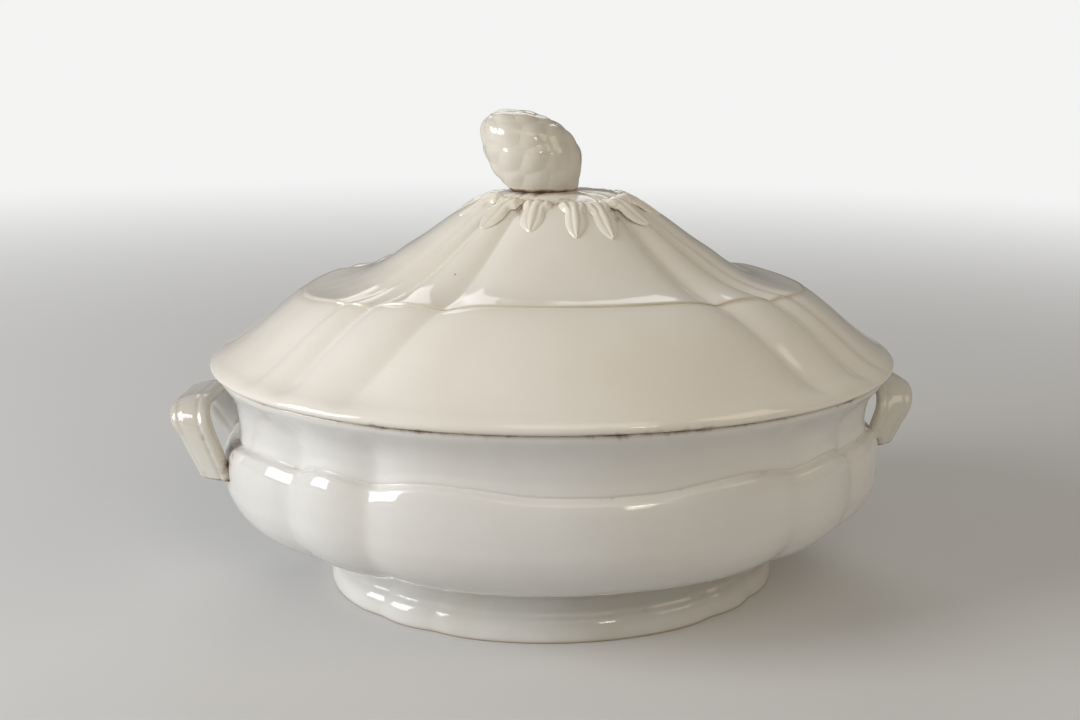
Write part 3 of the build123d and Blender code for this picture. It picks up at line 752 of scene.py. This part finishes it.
def leafSurface(turn, tip, number):
    # each row rises to a rounded middle rib, dips to a vein on each side and falls steeply at
    # its lobed edge; the flat underside lies in the lid
    along = np.linspace(0, 1, leaf["lengthRows"])[:, None]
    side = np.linspace(0, fullTurn, leaf["acrossColumns"], endpoint=False)[None, :]
    aside = np.cos(side)  # -1 to 1 across, over the top and back underneath
    top = np.sin(side) > 0
    width = curveThrough(*np.array(leaf["outline"]).T, along)
    width = width * (1 + leaf["widthPlay"] * math.sin(number * 2.3))
    distance = leaf["root"] + (tip - leaf["root"]) * along
    bow = leaf["bow"] * np.sin(np.pi * along) * math.cos(number * 1.9)
    notch = 1 - 0.10 * np.cos(fullTurn * along * 3.2 + 0.9 * np.sign(aside)) * smoothStep(0.55, 0.2, along)
    across = width * aside * notch + bow
    off = np.abs(aside)
    dome = np.sqrt(np.clip(1 - off ** 2.6, 0, 1))
    lobe = crossHump(off, *leaf["lobe"]) * np.exp(-((along - 0.30) / 0.16) ** 2)
    shape = leaf["blade"] * dome + crossHump(off, *leaf["rib"]) + lobe - crossHump(off, *leaf["vein"]) * dome
    ends, swing = leaf["reliefShares"]
    relief = leaf["relief"] * (ends - swing * math.sin(turn))
    lift = relief * smoothStep(-0.05, 0.34, along) * (1 - 0.40 * along ** 3) * shape
    x = distance * math.cos(turn) - across * math.sin(turn)
    y = distance * math.sin(turn) + across * math.cos(turn)
    rise = np.where(top, lift, 0)
    return np.stack([x, y, crownLevel(x, y) - leaf["sunk"] + rise], -1), rise


leafNodes = sorted(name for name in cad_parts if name.startswith("leaf_"))
for number, node in enumerate(leafNodes):
    low, high = boxOf(node)
    tip, aside = leaf["tips"].get(node, (leaf["tip"], 0.0))
    turn = math.atan2((low[1] + high[1]) / 2, (low[0] + high[0]) / 2) + math.radians(aside)
    rings, rise = leafSurface(turn, tip, number)
    atEdge, less = leaf["stainAndShade"]
    piece = layMesh(f"leaf{number + 1:02d}", rings, leafGlaze, marks={
        "stainAndShade": np.clip(atEdge - rise * less, 0, 1)})
    settle(piece, "lid", "leaf_glaze", node)


# Handles: a flat strap bent up, across and down, luted on each end

handle = {
    "rows": 190,
    "columns": 64,
    "width": 18.2,
    "thickness": 6.5,
    "splay": math.radians(22),  # the legs' outer faces turn outwards
    "footHeight": 65.0,
    "footHalfSpan": 26.4,
    "footReach": 154.0,
    "barHeight": 88.5,
    "barHalfSpan": 21.0,
    "barReach": 165.5,
    "runOn": 15.0,  # the legs' length below their foot, cut off level there
    "legShare": 0.23,  # of all rows
    "barShare": 0.42,  # of all rows, where a leg has turned into the bar
    "squareness": 0.62,  # of the section: 1 is round, near 0 is square
    "fullness": 0.5,
    "reed": 0.45,  # depth of the two lines pressed along the strap
    "reedPlace": 0.52,  # of the half width
    "footTaper": 0.20,  # the legs narrow by this share at their foot
    "stainsAndShade": {"nearBowl": 0.8, "reeds": 0.14, "streak": 0.08, "ends": 0.20},
    "edgeWear": 0.35,
    "rim": ((0.80, 0.0), (0.95, 0.05), (0.99, 0.35), (1.0, 0.9)),  # size and lift of the first rows of a leg
    # out, up: moved from the places above; cut: height where its legs end; corner: length of the bends
    "sides": {
        "handle_left": {"label": "strapLeft", "side": -1, "turn": math.radians(9), "out": 0.8, "up": 1.2,
                        "tilt": math.radians(12), "cut": 60.2, "corner": 9.0, "arch": 2.2},
        "handle_right": {"label": "strapRight", "side": 1, "turn": 0.0, "out": -1.0, "up": 1.4,
                         "tilt": math.radians(5), "cut": 66.0, "corner": 13.0, "arch": 1.2},
    },
}


def strapLine(share, bent):
    # points along three straight runs joined by two parabolic bends, at shares of their length;
    # the bar is arched
    out, up, corner = bent["out"], bent["up"], bent["corner"]
    footEnd = np.array([handle["footReach"] + out, -handle["footHalfSpan"], handle["footHeight"] + up])
    bend = np.array([handle["barReach"] + out, -handle["barHalfSpan"], handle["barHeight"] + up])
    mirror = np.array([1, -1, 1])
    rise = (bend - footEnd) / np.linalg.norm(bend - footEnd)
    before, after = bend - rise * corner, bend + np.array([0, corner, 0])
    footEnd = footEnd - rise * handle["runOn"]
    t = np.linspace(0, 1, 40)[:, None]
    arc = before * (1 - t) ** 2 + bend * 2 * t * (1 - t) + after * t ** 2
    halfway = np.vstack([footEnd + (before - footEnd) * t, arc[1:]])
    route = np.vstack([halfway, (halfway * mirror)[::-1]])
    middle = np.clip(route[:, 1] / handle["barHalfSpan"], -1, 1)
    route[:, 2] += bent["arch"] * np.cos(middle * np.pi / 2) ** 2
    run = np.concatenate([[0], np.cumsum(np.linalg.norm(np.diff(route, axis=0), axis=1))])
    return np.stack([np.interp(share * run[-1], run, route[:, k]) for k in range(3)], -1)


def levelCut(leg, way, level):
    # the leg's rows run from where its edges meet the level up to the bend; its rim is a little rounded
    rows = int(handle["rows"] * handle["legShare"])
    start = leg[0] + way / way[2] * (level - leg[0, :, 2:])
    leg[:rows] = start + (leg[rows] - start) * np.linspace(0, 1, rows + 1)[:-1, None, None] ** 1.3
    middle = start.mean(0)
    for row, (size, lift) in enumerate(handle["rim"]):
        leg[row] = middle + (start - middle) * size + way / way[2] * lift


def handleSurface(bent):
    # a rounded oblong section, pressed with two lines, carried along the strap line
    share = np.linspace(0, 1, handle["rows"])
    centre = strapLine(share, bent)
    step = 0.012
    ahead, behind = (strapLine(np.clip(share + way, 0, 1), bent) for way in (step, -step))
    heading = unit(ahead - behind)
    fromEnd = np.minimum(share, 1 - share)
    # 0 on the legs, 1 on the bar
    level = smoothStep(handle["legShare"], handle["barShare"], fromEnd)[:, None]
    towards = np.where(share[:, None] < 0.5, 1.0, -1.0) * smoothStep(0, 0.08, np.abs(share[:, None] - 0.5))
    splay, tilt, turn = handle["splay"], bent["tilt"], bent["turn"]
    legAcross = np.concatenate(
        [np.full_like(towards, math.cos(splay)), towards * math.sin(splay), 0 * towards], 1)
    barAcross = np.array([[math.cos(tilt), 0, -math.sin(tilt)]])
    across = legAcross * (1 - level) + barAcross * level
    across = unit(across - heading * np.sum(across * heading, 1, keepdims=True))
    through = np.cross(heading, across)
    ring = np.linspace(0, fullTurn, handle["columns"], endpoint=False)
    power, reedPlace = handle["squareness"], handle["reedPlace"]
    aside = np.sign(np.sin(ring)) * np.abs(np.sin(ring)) ** power
    deep = np.sign(np.cos(ring)) * np.abs(np.cos(ring)) ** power
    reeds = sum(np.exp(-((aside - at) / 0.10) ** 2) for at in (-reedPlace, reedPlace)) * handle["reed"]
    full = handle["fullness"] * (1 - aside ** 2)  # the faces are a little full
    outward = deep * (handle["thickness"] / 2 - 0.4) + np.sign(deep) * (full - reeds) * np.abs(deep) ** 3
    narrow = 1 - handle["footTaper"] * smoothStep(0.30, 0.04, fromEnd)
    sideways = narrow[:, None] * (aside * handle["width"] / 2)[None, :]
    places = (centre[:, None] + through[:, None] * outward[None, :, None]
              + across[:, None] * sideways[..., None])
    for leg, way in ((places, heading[0]), (places[::-1], heading[-1])):
        levelCut(leg, way, bent["cut"])
    x, y = places[..., 0] - handle["footReach"], places[..., 1]
    turned = np.stack([handle["footReach"] + x * math.cos(turn) - y * math.sin(turn),
                       x * math.sin(turn) + y * math.cos(turn), places[..., 2]], -1)
    turned[..., 0] *= bent["side"]
    return turned, np.abs(aside)[None, :] + 0 * share[:, None], share[:, None] + 0 * aside[None, :]


for node, bent in handle["sides"].items():
    rings, aside, share = handleSurface(bent)
    low, high = boxOf(node)
    reach = max(abs(low[0]), abs(high[0])) - np.abs(rings[..., 0]).max()
    rings[..., 0] += bent["side"] * min(reach, 0)  # never past the CAD strap's own reach
    z, x = rings[..., 2], np.abs(rings[..., 0])
    # brown stain and painted shade where the legs come close to the belly
    nearBowl = smoothStep(157, 149, x) * smoothStep(82, 66, z)
    stainsAndShade = handle["stainsAndShade"]
    reeds = np.exp(-((aside - handle["reedPlace"]) / 0.14) ** 2) * stainsAndShade["reeds"]
    streak = np.exp(-((aside - 0.1) / 0.5) ** 2) * stainsAndShade["streak"]
    ends = np.exp(-(np.minimum(share, 1 - share) / 0.03) ** 2) * stainsAndShade["ends"]
    piece = layMesh(bent["label"], rings, handleGlaze, marks={
        "stainAndShade": np.clip(nearBowl * stainsAndShade["nearBowl"] + reeds + streak + ends, 0, 1),
        "thin": aside ** 8 * handle["edgeWear"]})
    settle(piece, "tureen", "handle_glaze", node)


# Stage: floor, world, lights and camera

stage = {
    "floorRadius": 6.0,
    "floorLevel": -0.0002,  # just clear of the foot
    "floorFade": (0.35, 1.9),  # distance from the middle where the floor turns into the far colour
    "floorColour": (0.66, 0.66, 0.66),
    "farColour": (0.90, 0.90, 0.895),
    "worldLight": 0.18,
    "worldColour": (1.0, 0.995, 0.985),
    "lampTarget": (0, 0, 0.1),
    # name: place, width, height, power, colour
    "lamps": {
        "windowLamp": ((-1.60, -0.34, 0.70), 0.8, 1.0, 25.0, (0.98, 0.99, 1.0)),
        "frontLamp": ((0.62, -1.60, 0.78), 0.26, 0.26, 2.4, (1.0, 0.92, 0.78)),
        "rightLamp": ((1.20, -0.75, 1.05), 0.7, 0.7, 3.6, (1.0, 0.84, 0.58)),
        "roomLamp": ((0.20, -1.55, 1.70), 1.4, 1.0, 7.0, (1.0, 0.90, 0.76)),
        "backLamp": ((0.1, 1.5, 1.2), 1.2, 0.8, 5.5, (1.0, 1.0, 1.0)),
    },
}


def makeFloor():  # a disc that fades into the far colour for the camera and keeps the shadow
    turn = np.linspace(0, fullTurn, 96, endpoint=False)
    places = stage["floorRadius"] * np.stack([np.cos(turn), np.sin(turn), 0 * turn], -1)
    mesh = bpy.data.meshes.new("studioFloor")
    mesh.from_pydata([tuple(place) for place in places], [], [tuple(range(len(places)))])
    floor = bpy.data.objects.new("studioFloor", mesh)
    bpy.context.scene.collection.objects.link(floor)
    floor.location.z = stage["floorLevel"]
    material = bpy.data.materials.new("studioFloor")
    material.use_nodes = True
    tree = material.node_tree
    shader = tree.nodes["Principled BSDF"]
    shader.inputs["Base Color"].default_value = (*stage["floorColour"], 1)
    shader.inputs["Roughness"].default_value = 0.9
    place = addNode(tree, "ShaderNodeTexCoord").outputs["Object"]
    distance = addNode(tree, "ShaderNodeVectorMath", {0: place}, operation="LENGTH").outputs["Value"]
    rays = addNode(tree, "ShaderNodeLightPath").outputs
    share = times(tree, ramp(tree, distance, *stage["floorFade"]), rays["Is Camera Ray"])
    glow = addNode(tree, "ShaderNodeEmission", values={"Color": (*stage["farColour"], 1), "Strength": 1.0})
    mixed = addNode(tree, "ShaderNodeMixShader", {0: share, 1: shader.outputs[0], 2: glow.outputs[0]})
    tree.links.new(mixed.outputs[0], tree.nodes["Material Output"].inputs["Surface"])
    mesh.materials.append(material)


def makeWorld():  # the far colour is seen; the light that falls on the tureen is its own, weaker
    world = bpy.data.worlds.new("studioWorld")
    bpy.context.scene.world = world
    world.use_nodes = True
    tree = world.node_tree
    rays = addNode(tree, "ShaderNodeLightPath").outputs
    shown = maths(tree, "MAXIMUM", rays["Is Camera Ray"], rays["Is Transmission Ray"])
    low = tree.nodes["Background"]
    low.inputs["Color"].default_value = (*stage["worldColour"], 1)
    low.inputs["Strength"].default_value = stage["worldLight"]
    seen = addNode(tree, "ShaderNodeBackground", values={"Color": (*stage["farColour"], 1), "Strength": 1.0})
    mixed = addNode(tree, "ShaderNodeMixShader", {0: shown, 1: low.outputs[0], 2: seen.outputs[0]})
    tree.links.new(mixed.outputs[0], tree.nodes["World Output"].inputs["Surface"])


def makeLamps():
    target = Vector(stage["lampTarget"])
    for name, (place, width, height, power, colour) in stage["lamps"].items():
        data = bpy.data.lights.new(name, "AREA")
        data.shape, data.size, data.size_y = "RECTANGLE", width, height
        data.energy, data.color = power, colour
        lamp = bpy.data.objects.new(name, data)
        lamp.location = place
        lamp.rotation_euler = (target - Vector(place)).to_track_quat("-Z", "Y").to_euler()
        bpy.context.scene.collection.objects.link(lamp)


camera = {
    "place": (-0.0816, -0.547, 0.246),
    "lens": 40.0,
    "heading": math.radians(-7.69),
    "down": math.radians(14.43),
    "roll": math.radians(0.62),
}


def makeCamera():
    data = bpy.data.cameras.new("studioCamera")
    data.lens, data.sensor_width, data.clip_start = camera["lens"], 36.0, 0.01
    view = bpy.data.objects.new("studioCamera", data)
    view.matrix_world = (Matrix.Translation(camera["place"]) @ Matrix.Rotation(camera["heading"], 4, "Z")
                         @ Matrix.Rotation(math.pi / 2 - camera["down"], 4, "X")
                         @ Matrix.Rotation(camera["roll"], 4, "Z"))
    bpy.context.scene.collection.objects.link(view)
    bpy.context.scene.camera = view


makeFloor()
makeWorld()
makeLamps()
makeCamera()
bpy.context.scene.view_settings.view_transform = "Standard"
print("stage ready")
